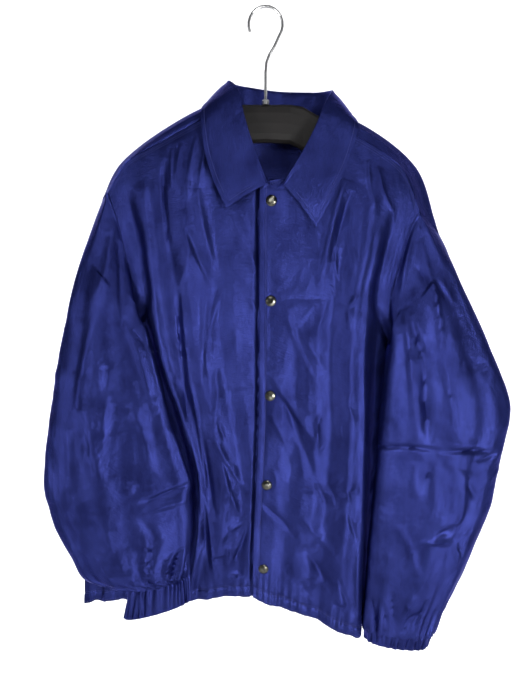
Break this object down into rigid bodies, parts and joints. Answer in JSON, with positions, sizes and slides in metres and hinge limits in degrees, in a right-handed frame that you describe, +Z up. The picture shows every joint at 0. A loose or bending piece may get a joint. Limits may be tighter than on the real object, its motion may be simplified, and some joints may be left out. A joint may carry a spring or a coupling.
{
  "type": "coach jacket on a hanger",
  "caption": "Hip-length shell jacket with a turned-down collar, snap front and gathered cuffs, hanging on a broad moulded hanger with a wire hook.",
  "frame": {"origin": "the point under the top of the hanger's hook where a rod bears", "axes": "+Z is up, the jacket's front faces -Y and +X is the wearer's left"},
  "size_m": [0.6607, 0.1319, 0.909],
  "materials": {
    "satin_shell": "satin nylon, lightly creased",
    "snap_metal": "antique dark brass",
    "hanger_plastic": "moulded black",
    "hook_steel": "plain plated wire"
  },
  "bodies": {
    "root": {"front_left": "satin_shell", "front_right": "satin_shell", "back": "satin_shell", "sleeve_left": "satin_shell", "sleeve_right": "satin_shell", "cuff_left": "satin_shell", "cuff_right": "satin_shell", "collar": "satin_shell", "snap_cap_1": "snap_metal", "snap_cap_2": "snap_metal", "snap_cap_3": "snap_metal", "snap_cap_4": "snap_metal", "snap_cap_5": "snap_metal", "snap_socket_1": "snap_metal", "snap_socket_2": "snap_metal", "snap_socket_3": "snap_metal", "snap_socket_4": "snap_metal", "snap_socket_5": "snap_metal", "hanger_body": "hanger_plastic", "hanger_hook": "hook_steel", "hanger_ferrule": "hook_steel"}
  },
  "joints": []
}
